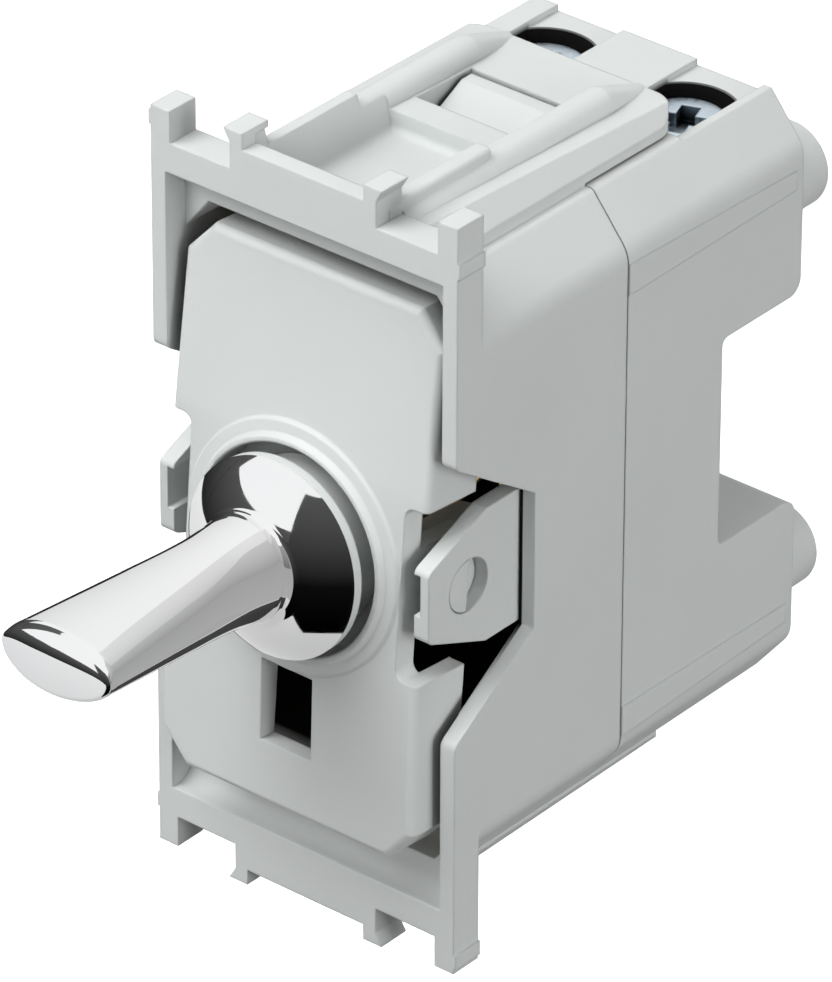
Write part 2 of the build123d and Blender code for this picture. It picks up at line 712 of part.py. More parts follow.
def bearing_arm():
    # Flat arm with a pointed end and the round hole that holds a trunnion
    tip = ARM_TIP_H / 2
    half = ARM_H / 2
    upper = [(ARM_TIP_Y, tip), (ARM_SLANT_Y, half), (BASE_BACK, half)]
    arm = along_x(upper + [(y, -z) for y, z in reversed(upper)], ARM_OUT - ARM_T, ARM_OUT)
    tip_edges = arm.edges().filter_by(Axis.X).filter_by(lambda e: e.center().Y < ARM_TIP_Y + TOL)
    arm = fillet(tip_edges, ARM_R)
    inside = ARM_OUT - ARM_T
    arm -= rod_x(TRUNNION_R + TRUNNION_CLEAR, inside - 1, ARM_OUT + 1, PIVOT_Y, 0)
    groove = block(
        inside - 1, inside + ARM_GROOVE_T, ARM_TIP_Y - 1, PIVOT_Y, ARM_GROOVE_LOW, ARM_GROOVE_HIGH
    )
    return arm - groove


def base_slot(x, width, low, high):
    half = width / 2 + SLOT_PLAY
    return block(x - half, x + half, BASE_Y - 1, BASE_BACK + 1, low - SLOT_PLAY, high + SLOT_PLAY)


def mechanism_base():
    # Moulded plate that carries the strips, with two arms that hold the rocker's trunnions
    base = cavity_prism(BASE_Y, BASE_BACK, ARM_PLAY, BASE_END_GAP)
    arm = bearing_arm()
    base += arm + flip_x(arm)
    left, right = TERM_X
    for x in TERM_X:
        base -= base_slot(x, COMMON_NECK_W, -STRIP_T / 2, STRIP_T / 2)
    base -= base_slot(left, CONTACT_W, PAD_HIGH, PAD_HIGH + STRIP_T)
    base -= base_slot(right, CONTACT_W, -PAD_HIGH - STRIP_T, -PAD_HIGH)
    return base - base_slot(left, STRIP_W, -BAR_TOP, -BAR_LOW)


# Rocker


def plate_outline():
    half_w = PLATE_W / 2
    half_h = PLATE_H / 2
    return mirrored_outline([(half_w, half_h - PLATE_CORNER_Z), (half_w - PLATE_CORNER_X, half_h)])


def plate_profile():
    half = PLATE_H / 2 + 1
    flat = PLATE_FLAT_H / 2
    lean = math.tan(math.radians(PLATE_LEAN)) * (half - flat)
    return [
        (PLATE_FACE + lean, half),
        (SKIRT_Y, half),
        (SKIRT_Y, -half),
        (PLATE_FACE + lean, -half),
        (PLATE_FACE, -flat),
        (PLATE_FACE, flat),
    ]


def collar_rings():
    # Stepped rings round the lever opening, as one turned section
    root = PLATE_FACE + RING_ROOT
    section = Polyline(
        (COLLAR_R, root),
        (COLLAR_R, COLLAR_Y + COLLAR_EDGE),
        (COLLAR_R + COLLAR_EDGE, COLLAR_Y),
        (RING_IN_R - RING_SLANT, COLLAR_Y),
        (RING_IN_R + COLLAR_EDGE, RING_STEP_Y),
        (RING_MID_R, RING_STEP_Y),
        (RING_OUT_R - RING_SLANT, RING_STEP_Y + COLLAR_EDGE / 2),
        (RING_OUT_R, PLATE_FACE),
        (RING_OUT_R, root),
        close=True,
    )
    return revolve(make_face(section), Axis.Y)


def is_rim(edge):
    # Edges of the tray's front outline, not the crease lines across its face
    place = edge.center()
    at_end = abs(place.Z) > PLATE_H / 2 - SLOT_PLAY
    at_side = abs(place.X) > PLATE_W / 2 - PLATE_CORNER_X
    along_depth = abs(edge.tangent_at(0.5).Y) > 0.9
    return place.Y < PLATE_BACK and (at_side or at_end) and not along_depth


def tray_hollow():
    wall_w = PLATE_W / 2 - SKIRT_T
    wall_h = PLATE_H / 2 - SKIRT_T
    outline = mirrored_outline([(wall_w, wall_h - PLATE_CORNER_Z), (wall_w - PLATE_CORNER_X, wall_h)])
    return along_y(outline, PLATE_BACK, SKIRT_Y + 1)


def side_cut():
    notch = block(NOTCH_HALF, PLATE_W, PLATE_FACE - 2, SKIRT_Y + 1, -NOTCH_H / 2, NOTCH_H / 2)
    inner = notch.edges().filter_by(Axis.Y).filter_by(lambda e: e.center().X < NOTCH_HALF + TOL)
    return fillet(inner, NOTCH_R)


def side_bearing():
    # Trunnion with a flat on its end, on a lug behind the tray
    root = NOTCH_HALF - TRUNNION_ROOT
    end = ARM_OUT - SEAT_GAP
    trunnion = rod_x(TRUNNION_R, root, end, PIVOT_Y, 0)
    trunnion -= block(end - TRUNNION_FLAT, end + 1, PIVOT_Y, FAR, -TRUNNION_LUG, TRUNNION_LUG)
    half = TRUNNION_LUG / 2
    return trunnion + block(root, NOTCH_HALF, PLATE_BACK - TOL, PIVOT_Y + LUG_PAST_PIVOT, -half, half)


def rocker_plate():
    block_form = along_y(plate_outline(), PLATE_FACE - 2, SKIRT_Y)
    tray = block_form & along_x(plate_profile(), -MODULE_W, MODULE_W)
    tray = fillet(tray.edges().filter_by(is_rim), PLATE_EDGE_R)
    tray -= tray_hollow()
    notch = side_cut()
    tray -= notch + flip_x(notch)
    tray += collar_rings()
    floor_back = COLLAR_FLOOR_Y + COLLAR_FLOOR_T
    tray += rod_y(COLLAR_R + COLLAR_FLOOR_MARGIN, PLATE_FACE + RING_ROOT, floor_back)
    tray -= rod_y(COLLAR_R, COLLAR_Y - 1, COLLAR_FLOOR_Y)
    tray -= rod_y(STUD_R + STUD_CLEAR, COLLAR_FLOOR_Y - 1, SKIRT_Y + 1)
    half_w = SLOT_WIN_W / 2
    win_low = SLOT_WIN_END - PLATE_H / 2
    win_high = -RING_OUT_R - SLOT_WIN_GAP
    tray -= block(-half_w, half_w, PLATE_FACE - 1, PLATE_BACK + 1, win_low, win_high)
    bearing = side_bearing()
    tray += bearing + flip_x(bearing)
    for x in TERM_X:
        tray += rod_y(POST_OUT_R, COLLAR_FLOOR_Y + SEAT_GAP, POST_Y, x)
        tray -= rod_y(PLUNGER_R + PLUNGER_PLAY, POST_FLOOR, POST_Y + 1, x)
    return tilted(tray, -TILT, PIVOT_Y)


def lever_collet():
    # Moulded collar that seats the lever's dome in the rocker plate
    step = RIM_Y + COLLET_L
    collet = rod_y(COLLET_R, RIM_Y + SEAT_GAP, step)
    collet += rod_y(COLLET_R - COLLET_NECK, step, COLLAR_FLOOR_Y - SEAT_GAP)
    return tilted(collet - rod_y(STUD_R + STUD_CLEAR, RIM_Y - 1, COLLAR_FLOOR_Y + 1), -TILT, PIVOT_Y)


def lever_stalk():
    # Round at the root, then flattened into an oval with a domed end
    sections = []
    for forward, half_w, half_h in STALK:
        sections.append(Pos(0, CROWN_Y - forward, STALK_RISE) * Rot(90, 0, 0) * Ellipse(half_w, half_h))
    end_ball = Pos(0, STALK_TIP_Y + STALK_TIP_DOME, STALK_RISE) * Sphere(STALK_TIP_DOME)
    stalk = loft(sections) & end_ball
    tip = stalk.edges().filter_by(lambda e: e.center().Y < STALK_TIP_Y + 2)
    return fillet(tip, STALK_TIP_EDGE)


def lever():
    dome = Pos(0, PIVOT_Y, 0) * Sphere(DOME_R)
    dome &= block(-DOME_R, DOME_R, PIVOT_Y - DOME_R - 1, RIM_Y, -DOME_R, DOME_R)
    body = dome + lever_stalk()
    body &= block(-DOME_R, DOME_R, 2 * STALK_TIP_Y, RIM_Y, -DOME_R, DOME_R)
    flare = body.edges().filter_by(lambda e: CROWN_Y - 1 < e.center().Y < RIM_Y - TOL)
    body = fillet(flare, FLARE_SHARE * (COLLET_R - STALK[1][1]))
    body += rod_y(STUD_R, RIM_Y - 1, COLLAR_FLOOR_Y + COLLAR_FLOOR_T - SLOT_PLAY)
    body -= rod_y(LEVER_SCREW_R + SCREW_PLAY, RIM_Y - LEVER_BORE_DEEP, SKIRT_Y + 1)
    return tilted(body, -TILT, PIVOT_Y)


def lever_screw():
    seat = COLLAR_FLOOR_Y + COLLAR_FLOOR_T + SEAT_GAP
    screw = rod_y(LEVER_SCREW_HEAD_R, seat, seat + LEVER_SCREW_HEAD_T)
    screw += rod_y(LEVER_SCREW_R, RIM_Y - LEVER_SCREW_DEEP, seat)
    slot = Box(2 * LEVER_SCREW_HEAD_R + 1, RECESS_DEEP, SLOT_W)
    screw -= Pos(0, seat + LEVER_SCREW_HEAD_T, 0) * slot
    return tilted(screw, -TILT, PIVOT_Y)


def plunger(x):
    nose_end = CONTACT_FRONT - PLUNGER_GAP
    centre = nose_end - PLUNGER_NOSE_R
    body = rod_y(PLUNGER_R, PLUNGER_START, PLUNGER_STEP, x)
    body += rod_y(PLUNGER_NOSE_R, PLUNGER_STEP, centre, x)
    body += Pos(x, centre, 0) * Sphere(PLUNGER_NOSE_R)
    return tilted(body, -TILT, PIVOT_Y)


def plunger_spring(x):
    length = PLUNGER_START - POST_FLOOR - 2 * SPRING_WIRE_R - 2 * SEAT_GAP
    radius = PLUNGER_R - SPRING_PLAY - SPRING_WIRE_R
    path = Helix(length / SPRING_TURNS, length, radius)
    wire = sweep(Plane(path @ 0, z_dir=path % 0) * Circle(SPRING_WIRE_R), path)
    spring = Pos(x, POST_FLOOR + SPRING_WIRE_R + SEAT_GAP, 0) * Rot(-90, 0, 0) * wire
    return tilted(spring, -TILT, PIVOT_Y)


SIDES = {"left": TERM_X[0], "right": TERM_X[1]}

NODES = {
    "front_shell": front_shell(),
    "rear_cover": rear_cover(),
    "mechanism_base": mechanism_base(),
    "rocker_plate": rocker_plate(),
    "lever_collet": lever_collet(),
    "lever": lever(),
    "lever_screw": lever_screw(),
    "link_strip_front": link_strip_front(),
    "link_strip_rear": link_strip_rear(),
    "fixed_contacts_front": [fixed_contact(TERM_X[0], -1), fixed_contact(TERM_X[1], 1)],
    "fixed_contacts_rear": [fixed_contact(TERM_X[0], 1), fixed_contact(TERM_X[1], -1)],
}
for side, x in SIDES.items():
    NODES["common_strip_" + side] = common_strip(x)
    NODES["contact_rocker_" + side] = contact_rocker(x)
    NODES["moving_contacts_" + side] = [moving_contact(x, -1), moving_contact(x, 1)]
    NODES["plunger_" + side] = plunger(x)
    NODES["plunger_spring_" + side] = plunger_spring(x)
    NODES["terminal_screw_top_" + side] = terminal_screw(x)
    NODES["terminal_screw_bottom_" + side] = flip_z(terminal_screw(x))
    NODES["clamp_cage_top_" + side] = clamp_cage(x)
    NODES["clamp_cage_bottom_" + side] = flip_z(clamp_cage(x))

os.makedirs("parts", exist_ok=True)
for name, shape in NODES.items():
    solids = shape if isinstance(shape, list) else shape.solids()
    export_step(Compound(children=list(solids)) if len(solids) > 1 else solids[0], f"parts/{name}.step")
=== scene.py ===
import json
import math

import bpy
from mathutils import Matrix, Vector


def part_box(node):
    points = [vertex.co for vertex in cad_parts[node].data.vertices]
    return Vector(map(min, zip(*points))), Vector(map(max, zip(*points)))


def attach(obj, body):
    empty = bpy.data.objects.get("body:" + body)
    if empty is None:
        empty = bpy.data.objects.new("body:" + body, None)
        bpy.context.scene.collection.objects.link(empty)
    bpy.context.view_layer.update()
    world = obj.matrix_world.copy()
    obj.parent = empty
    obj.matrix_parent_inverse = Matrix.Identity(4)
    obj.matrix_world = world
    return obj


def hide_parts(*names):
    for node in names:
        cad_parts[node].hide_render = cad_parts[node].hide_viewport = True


# Intermediate wall switch with a chrome toggle lever, on a plain white ground, in metres

# Camera, fitted to the photograph
IMAGE_H = 982
AZIMUTH = 39.61
ELEVATION = 31.01
ROLL = 0.218
FOCAL_PX = 9176
DISTANCE = 0.5347
AIM = (0.0, 0.016, 0.0)
AIM_RIGHT = -0.0038
AIM_UP = -0.00326
SENSOR = 36.0
CLIP_START = 0.01
CLIP_END = 20

# Lamps, each with its place, side length and power
LAMP_AIM = (0, 0.01, 0)
LAMPS = (
    ("key", (-0.12, -0.2, 0.36), 0.35, 2.15),
    ("front", (-0.21, -0.49, 0.08), 0.3, 0.75),
    ("side", (0.49, -0.04, 0.09), 0.25, 1.36),
    ("back", (-0.12, 0.55, 0.12), 0.3, 0.6),
)

# World and ground. Each has a level for the light it casts and one for how it is seen
WORLD_LEVEL = 0.3
WORLD_SEEN = 1.0
FLOOR_Z = -0.07
FLOOR_SIZE = 6.0
FLOOR_GREY = 0.06
FLOOR_SEEN = 0.9
FLOOR_GLOW = 0.35
FLOOR_ROUGH = 0.9

# Studio cards that only the reflections show, each with its azimuths and elevations in degrees,
# its brightness at the lower and upper end, and its layer, where a higher one lies further in
CARD_RADIUS = 0.6
CARD_LAYER_STEP = 0.05
CARD_STEPS = 12
CARDS = (
    ("card_floor_far", (-180, 180), (-40, -14), 0.74, 0.9, 0),
    ("card_floor_near", (-180, 180), (-89.9, -40), 0.58, 0.74, 0),
    ("card_right", (57, 150), (-45, 48), 0.44, 0.36, 1),
    ("card_right_band", (66, 112), (8, 48), 0.17, 0.36, 2),
    ("card_right_top", (112, 150), (12, 62), 0.36, 0.66, 2),
    ("card_back", (150, 180), (-45, 12), 0.42, 0.36, 1),
    ("card_back_top", (150, 180), (12, 62), 0.36, 0.9, 1),
    ("card_left", (-180, -126), (-8, 60), 0.76, 1.0, 1),
    ("card_left_wall", (-108, -76), (-14, 57), 0.012, 0.12, 2),
    ("card_front", (-126, 4), (-14, 22), 0.016, 0.09, 2),
    ("card_behind", (-158, -124), (-40, -7), 0.07, 0.015, 2),
    ("card_black", (4, 57), (-63, -18), 0.0, 0.004, 3),
    ("card_black_top", (4, 57), (-18, 53), 0.004, 0.09, 3),
    ("card_under", (95, 205), (-68, -46), 0.03, 0.06, 2),
)

# Lever, in the rocker's own frame and in millimetres, upright about the pivot
MM = 0.001
MM_PER_M = 1000
PIVOT_Y = 2.6
REST_TILT = 4.8
DOME_R = 8.28
RIM_Y = -2.9
FLARE_R = 0.95
ROOT_R = 3.2
STALK_RISE = 0.25
STUD_R = 2.0
BORE_R = 1.05
BORE_END_Y = -4.6
STALK_Y = (-5.645, -8.5, -13.0, -17.5, -21.65)
STALK_HALF_W = (3.2, 3.02, 3.38, 3.73, 4.07)
STALK_HALF_H = (3.19, 2.86, 2.54, 2.24, 1.88)
TIP_Y = -22.0
TIP_DOME_R = 14.0
TIP_TOP_R = 1.25
TIP_EDGE_R = 0.35
DOME_STEPS = 40
FLARE_STEPS = 24
STALK_STEPS = 90
TIP_TOP_STEPS = 40
TIP_EDGE_STEPS = 12
END_STEPS = 30
RING_POINTS = 128
SHARP_ANGLE = 40

# Plastics. SHADES are factors on the colour, ROUGH_STEPS are added to the roughness, and SCALES
# are the noise scales in the colour, in the roughness and in the relief
PLASTIC = (0.60, 0.625, 0.615)
WHITE = (0.8, 0.8, 0.78)
PLASTIC_ROUGH = 0.42
INNER_ROUGH = 0.5
COLLET_ROUGH = 0.4
PLASTIC_SHADES = (0.985, 1.015)
PLASTIC_ROUGH_STEPS = (-0.05, 0.06)
PLASTIC_SCALES = (90.0, 900.0, 9000.0)
PLASTIC_GRAIN = 0.12

# Metals, each with its colour, roughness and grain. ROUGH_FACTORS are factors on the roughness
METALS = {
    "zinc_steel": ((0.66, 0.76, 0.84), 0.33, 0.08),
    "brass": ((0.72, 0.52, 0.24), 0.34, 0.06),
    "silver_contact": ((0.85, 0.84, 0.8), 0.3, 0.05),
}
METAL_SHADES = (0.94, 1.04)
METAL_ROUGH_FACTORS = (0.75, 1.25)
METAL_SCALES = (400.0, 2500.0, 7000.0)
CHROME_SHADES = ((0.86, 0.87, 0.88), (0.9, 0.9, 0.9))
CHROME_ROUGH = (0.035, 0.07)
CHROME_SCALES = (60.0, 1200.0, 250.0)
CHROME_GRAIN = 0.02

# Surface relief, and the share of the noise that a colour or a roughness runs over
RELIEF = 0.00001
CHROME_RELIEF = 0.00002
EDGE_RADIUS = 0.00018
EDGE_SAMPLES = 6
BROAD_DETAIL = 3.0
FINE_DETAIL = 5.0
NOISE_LOW = 0.3
NOISE_HIGH = 0.7

# Painted shade in hollows. The two shares are how open a spot is where it is fully dark and where
# it is clear
HOLLOW_SAMPLES = 6
HOLLOW_REACH = 0.003
METAL_REACH = 0.0012
PLASTIC_HOLLOWS = (0.06, 0.3)
METAL_HOLLOWS = (0.4, 0.8)
HOLLOW_PAINTED_SHADE_GREY = 0.012
INNER_PAINTED_SHADE_GREY = 0.006
CAVITY_PAINTED_SHADE_GREY = 0.01
OPEN_GLOSS = 0.5

# Painted deep shadow inside the housing: between the arms, and in the cavity with its cut corners
INNER_HALF = 0.0079
INNER_SOFT = 0.0003
SOFT = 0.00005
CAVITY_HALF_W = 0.01035
CAVITY_HALF_H = 0.01895
CAVITY_CORNER = 0.01846
CORNER_NORMAL = (0.781, 0.624)
CAVITY_LIT_Y = 0.004
CAVITY_DARK_Y = 0.007
CAVITY_END_Y = 0.0232

# Painted deep shadow on the walls of the screw wells, which are round with two flat sides
WELL_X = (-0.0044, 0.006)
WELL_Y = 0.02675
WELL_EDGE = 0.0034
WELL_RIM_Z = 0.01955
WELL_DEEP_Z = 0.0177
WELL_SOFT = 0.0004
WELL_LEFT = 0.00278
WELL_RIGHT = 0.00228

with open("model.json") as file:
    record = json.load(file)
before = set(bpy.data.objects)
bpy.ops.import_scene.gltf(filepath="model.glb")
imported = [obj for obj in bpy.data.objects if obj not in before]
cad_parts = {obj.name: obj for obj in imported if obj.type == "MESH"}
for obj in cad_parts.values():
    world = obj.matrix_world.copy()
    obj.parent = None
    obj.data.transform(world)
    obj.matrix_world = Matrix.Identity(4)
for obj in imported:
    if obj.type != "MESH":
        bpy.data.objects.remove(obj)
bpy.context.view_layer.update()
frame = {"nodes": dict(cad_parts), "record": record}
nodes = frame["nodes"]


def node_tree(name):
    material = bpy.data.materials.new(name)
    material.use_nodes = True
    tree = material.node_tree
    return material, tree, tree.nodes["Principled BSDF"]


def add(tree, kind, **sockets):
    node = tree.nodes.new(kind)
    for key, value in sockets.items():
        node.inputs[key.replace("_", " ")].default_value = value
    return node


def math_node(tree, operation, first, second=0.0):
    node = tree.nodes.new("ShaderNodeMath")
    node.operation = operation
    for socket, value in zip(node.inputs, (first, second)):
        if isinstance(value, (int, float)):
            socket.default_value = value
        else:
            tree.links.new(value, socket)
    return node.outputs[0]


def colour_mix(tree, factor, grey):
    # A mix that shows the grey level where the factor is 0
    mix = tree.nodes.new("ShaderNodeMix")
    mix.data_type = "RGBA"
    mix.inputs["A"].default_value = (grey, grey, grey, 1)
    tree.links.new(factor, mix.inputs["Factor"])
    return mix


def fade(tree, source, low, high):
    # 0 where the source is at low, 1 where it is at high
    spread = add(tree, "ShaderNodeMapRange", From_Min=low, From_Max=high)
    tree.links.new(source, spread.inputs["Value"])
    return spread.outputs["Result"]


def object_place(tree):
    # The place in the object's own frame, as x, y and z
    place = tree.nodes.new("ShaderNodeTexCoord")
    split = tree.nodes.new("ShaderNodeSeparateXYZ")
    tree.links.new(place.outputs["Object"], split.inputs["Vector"])
    return split.outputs


def noise(tree, scale, detail=BROAD_DETAIL):
    place = tree.nodes.new("ShaderNodeTexCoord")
    texture = add(tree, "ShaderNodeTexNoise", Scale=scale, Detail=detail)
    tree.links.new(place.outputs["Object"], texture.inputs["Vector"])
    return texture.outputs["Fac"]


def vary(tree, source, low, high, target):
    spread = add(tree, "ShaderNodeMapRange",
                 From_Min=NOISE_LOW, From_Max=NOISE_HIGH, To_Min=low, To_Max=high)
    tree.links.new(source, spread.inputs["Value"])
    tree.links.new(spread.outputs["Result"], target)


def vary_colour(tree, source, dark, light, target):
    ramp = tree.nodes.new("ShaderNodeValToRGB")
    stops = zip(ramp.color_ramp.elements, (NOISE_LOW, NOISE_HIGH), (dark, light))
    for stop, position, colour in stops:
        stop.position = position
        stop.color = (*colour, 1)
    tree.links.new(source, ramp.inputs["Fac"])
    tree.links.new(ramp.outputs["Color"], target)


def bump(tree, source, shader, strength, distance=RELIEF, edge=EDGE_RADIUS):
    # Surface relief over edges that are rounded by a small radius
    node = add(tree, "ShaderNodeBump", Strength=strength, Distance=distance)
    tree.links.new(source, node.inputs["Height"])
    if edge > 0:
        rounded = add(tree, "ShaderNodeBevel", Radius=edge)
        rounded.samples = EDGE_SAMPLES
        tree.links.new(rounded.outputs["Normal"], node.inputs["Normal"])
    tree.links.new(node.outputs["Normal"], shader.inputs["Normal"])


def paint_shade_colour(tree, shader, open_share, grey):
    # Painted shade: the surface colour and its gloss fall to a deep grey where the share is 0
    colour = shader.inputs["Base Color"]
    source = colour.links[0].from_socket
    mix = colour_mix(tree, open_share, grey)
    tree.links.new(source, mix.inputs["B"])
    tree.links.new(mix.outputs["Result"], colour)
    spread = add(tree, "ShaderNodeMapRange", To_Min=0.0, To_Max=OPEN_GLOSS)
    tree.links.new(open_share, spread.inputs["Value"])
    gloss = spread.outputs["Result"]
    level = shader.inputs["Specular IOR Level"]
    if level.links:
        gloss = math_node(tree, "MINIMUM", level.links[0].from_socket, gloss)
    tree.links.new(gloss, level)


def paint_hollow_shade(tree, shader, shares, reach):
    # Painted shade: narrow gaps turn dark, open surfaces stay as they are
    gap = add(tree, "ShaderNodeAmbientOcclusion", Distance=reach)
    gap.samples = HOLLOW_SAMPLES
    paint_shade_colour(tree, shader, fade(tree, gap.outputs["AO"], *shares), HOLLOW_PAINTED_SHADE_GREY)


def shade(colour, factor):
    return tuple(c * factor for c in colour)


def moulded_plastic(name, colour, rough=PLASTIC_ROUGH, hollows=PLASTIC_HOLLOWS):
    # Fine eroded mould texture, with faint flow marks in colour and gloss
    material, tree, shader = node_tree(name)
    flow, gloss, grain = PLASTIC_SCALES
    dark, light = (shade(colour, factor) for factor in PLASTIC_SHADES)
    low, high = (rough + step for step in PLASTIC_ROUGH_STEPS)
    vary_colour(tree, noise(tree, flow), dark, light, shader.inputs["Base Color"])
    vary(tree, noise(tree, gloss), low, high, shader.inputs["Roughness"])
    bump(tree, noise(tree, grain, FINE_DETAIL), shader, PLASTIC_GRAIN)
    # Painted shade in narrow gaps
    if hollows:
        paint_hollow_shade(tree, shader, hollows, HOLLOW_REACH)
    return material


def metal(name, colour, rough, strength):
    material, tree, shader = node_tree(name)
    tone, gloss, grain = METAL_SCALES
    dark, light = (shade(colour, factor) for factor in METAL_SHADES)
    low, high = (rough * factor for factor in METAL_ROUGH_FACTORS)
    shader.inputs["Metallic"].default_value = 1.0
    vary_colour(tree, noise(tree, tone), dark, light, shader.inputs["Base Color"])
    vary(tree, noise(tree, gloss), low, high, shader.inputs["Roughness"])
    bump(tree, noise(tree, grain, FINE_DETAIL), shader, strength)
    # Painted shade in narrow hollows, such as the screw recesses
    paint_hollow_shade(tree, shader, METAL_HOLLOWS, METAL_REACH)
    return material


def chrome():
    material, tree, shader = node_tree("chrome")
    tone, gloss, grain = CHROME_SCALES
    shader.inputs["Metallic"].default_value = 1.0
    vary_colour(tree, noise(tree, tone), *CHROME_SHADES, shader.inputs["Base Color"])
    vary(tree, noise(tree, gloss), *CHROME_ROUGH, shader.inputs["Roughness"])
    bump(tree, noise(tree, grain), shader, CHROME_GRAIN, CHROME_RELIEF, 0.0)
    return material


# Copies of the grey plastic. The inner and housing copies are given painted shade further down
PAINTED_SHADE_INNER_PLASTIC = moulded_plastic("painted_shade_inner_plastic", PLASTIC, INNER_ROUGH, None)
PAINTED_SHADE_HOUSING_PLASTIC = moulded_plastic("painted_shade_housing_plastic", PLASTIC)
COLLET_PLASTIC = moulded_plastic("collet_plastic", PLASTIC, COLLET_ROUGH, None)
MATERIALS = {
    "grey_plastic": moulded_plastic("grey_plastic", PLASTIC),
    "white_plastic": moulded_plastic("white_plastic", WHITE),
    "chrome": chrome(),
    **{name: metal(name, *row) for name, row in METALS.items()},
}


def paint_inner_shade(material):
    # Painted deep shadow between the bearing arms, where the gaps around the plate look in
    tree = material.node_tree
    x = object_place(tree)[0]
    away = math_node(tree, "ABSOLUTE", x)
    open_share = fade(tree, away, INNER_HALF - INNER_SOFT, INNER_HALF)
    paint_shade_colour(tree, tree.nodes["Principled BSDF"], open_share, INNER_PAINTED_SHADE_GREY)


def outside_cavity(tree, y, wide, tall):
    # Mask of the painted shade: 1 on the housing's outer surfaces and near its open front, 0 deep
    # inside
    corner = math_node(tree, "ADD", math_node(tree, "MULTIPLY", wide, CORNER_NORMAL[0]),
                       math_node(tree, "MULTIPLY", tall, CORNER_NORMAL[1]))
    bounds = ((wide, CAVITY_HALF_W), (tall, CAVITY_HALF_H), (corner, CAVITY_CORNER),
              (y, CAVITY_END_Y))
    outside = fade(tree, y, CAVITY_DARK_Y, CAVITY_LIT_Y)
    for source, limit in bounds:
        outside = math_node(tree, "MAXIMUM", outside, fade(tree, source, limit, limit + SOFT))
    return outside


def clear_of_well(tree, x, y, tall, well_x):
    # Mask of the painted shade: 0 on the walls of one screw well between its rim and its deep end,
    # 1 elsewhere
    beside = math_node(tree, "SUBTRACT", x, well_x)
    behind = math_node(tree, "SUBTRACT", y, WELL_Y)
    distance = math_node(tree, "SQRT", math_node(
        tree, "ADD", math_node(tree, "MULTIPLY", beside, beside),
        math_node(tree, "MULTIPLY", behind, behind)))
    bounds = (
        (tall, WELL_RIM_Z - WELL_SOFT, WELL_RIM_Z),
        (tall, WELL_DEEP_Z, WELL_DEEP_Z - WELL_SOFT),
        (distance, WELL_EDGE - SOFT, WELL_EDGE),
        (beside, WELL_RIGHT, WELL_RIGHT + SOFT),
        (beside, -WELL_LEFT, -WELL_LEFT - SOFT),
    )
    clear = 0.0
    for source, low, high in bounds:
        clear = math_node(tree, "MAXIMUM", fade(tree, source, low, high), clear)
    return clear


def paint_housing_shade(material):
    # Painted deep shadow inside the cavity and on the walls of the screw wells
    tree = material.node_tree
    x, y, z = object_place(tree)
    wide = math_node(tree, "ABSOLUTE", x)
    tall = math_node(tree, "ABSOLUTE", z)
    open_share = outside_cavity(tree, y, wide, tall)
    for well_x in WELL_X:
        clear = clear_of_well(tree, x, y, tall, well_x)
        open_share = math_node(tree, "MINIMUM", open_share, clear)
    paint_shade_colour(tree, tree.nodes["Principled BSDF"], open_share, CAVITY_PAINTED_SHADE_GREY)


def dress_nodes():
    # Painted deep shadow between the arms, in the cavity and in the screw wells
    paint_inner_shade(PAINTED_SHADE_INNER_PLASTIC)
    paint_housing_shade(PAINTED_SHADE_HOUSING_PLASTIC)
    for part in frame["record"]["subparts"]:
        mesh = nodes[part["node"]].data
        mesh.materials.clear()
        mesh.materials.append(MATERIALS[part["material_slot"]])
    # The housing and the mechanism base take the plastics with painted shade
    for name in ("front_shell", "rear_cover"):
        nodes[name].data.materials[0] = PAINTED_SHADE_HOUSING_PLASTIC
    nodes["mechanism_base"].data.materials[0] = PAINTED_SHADE_INNER_PLASTIC
    nodes["lever_collet"].data.materials[0] = COLLET_PLASTIC
    # Hidden from reflections, so that the chrome shows the studio cards alone
    for name in ("front_shell", "mechanism_base", "rocker_plate", "lever_collet"):
        nodes[name].visible_glossy = False


def hermite(xs, ys, x):
    # Smooth curve through the points, with each slope taken from its neighbours
    count = len(xs)
    slopes = []
    for i in range(count):
        before = max(i - 1, 0)
        after = min(i + 1, count - 1)
        slopes.append((ys[after] - ys[before]) / (xs[after] - xs[before]))
    i = 0
    while i < count - 2 and (x - xs[i + 1]) * (xs[-1] - xs[0]) > 0:
        i += 1
    span = xs[i + 1] - xs[i]
    t = (x - xs[i]) / span
    low = (1 + 2 * t) * (1 - t) ** 2 * ys[i] + t * (1 - t) ** 2 * span * slopes[i]
    return low + t * t * (3 - 2 * t) * ys[i + 1] + t * t * (t - 1) * span * slopes[i + 1]


def inset(forward, radius):
    # How far a rounded edge has turned in, at a distance past its start
    reach = min(max(forward / radius, 0.0), 1.0)
    return radius * (1 - math.sqrt(1 - reach * reach))


def quarter(start, radius, steps):
    # Levels along a rounded edge, closer together where it turns in
    return [start - radius * math.sin(math.pi / 2 * i / steps) for i in range(steps + 1)]


def round_ring(y, radius, rise=0):
    return (y, radius, radius, radius, rise, 0)


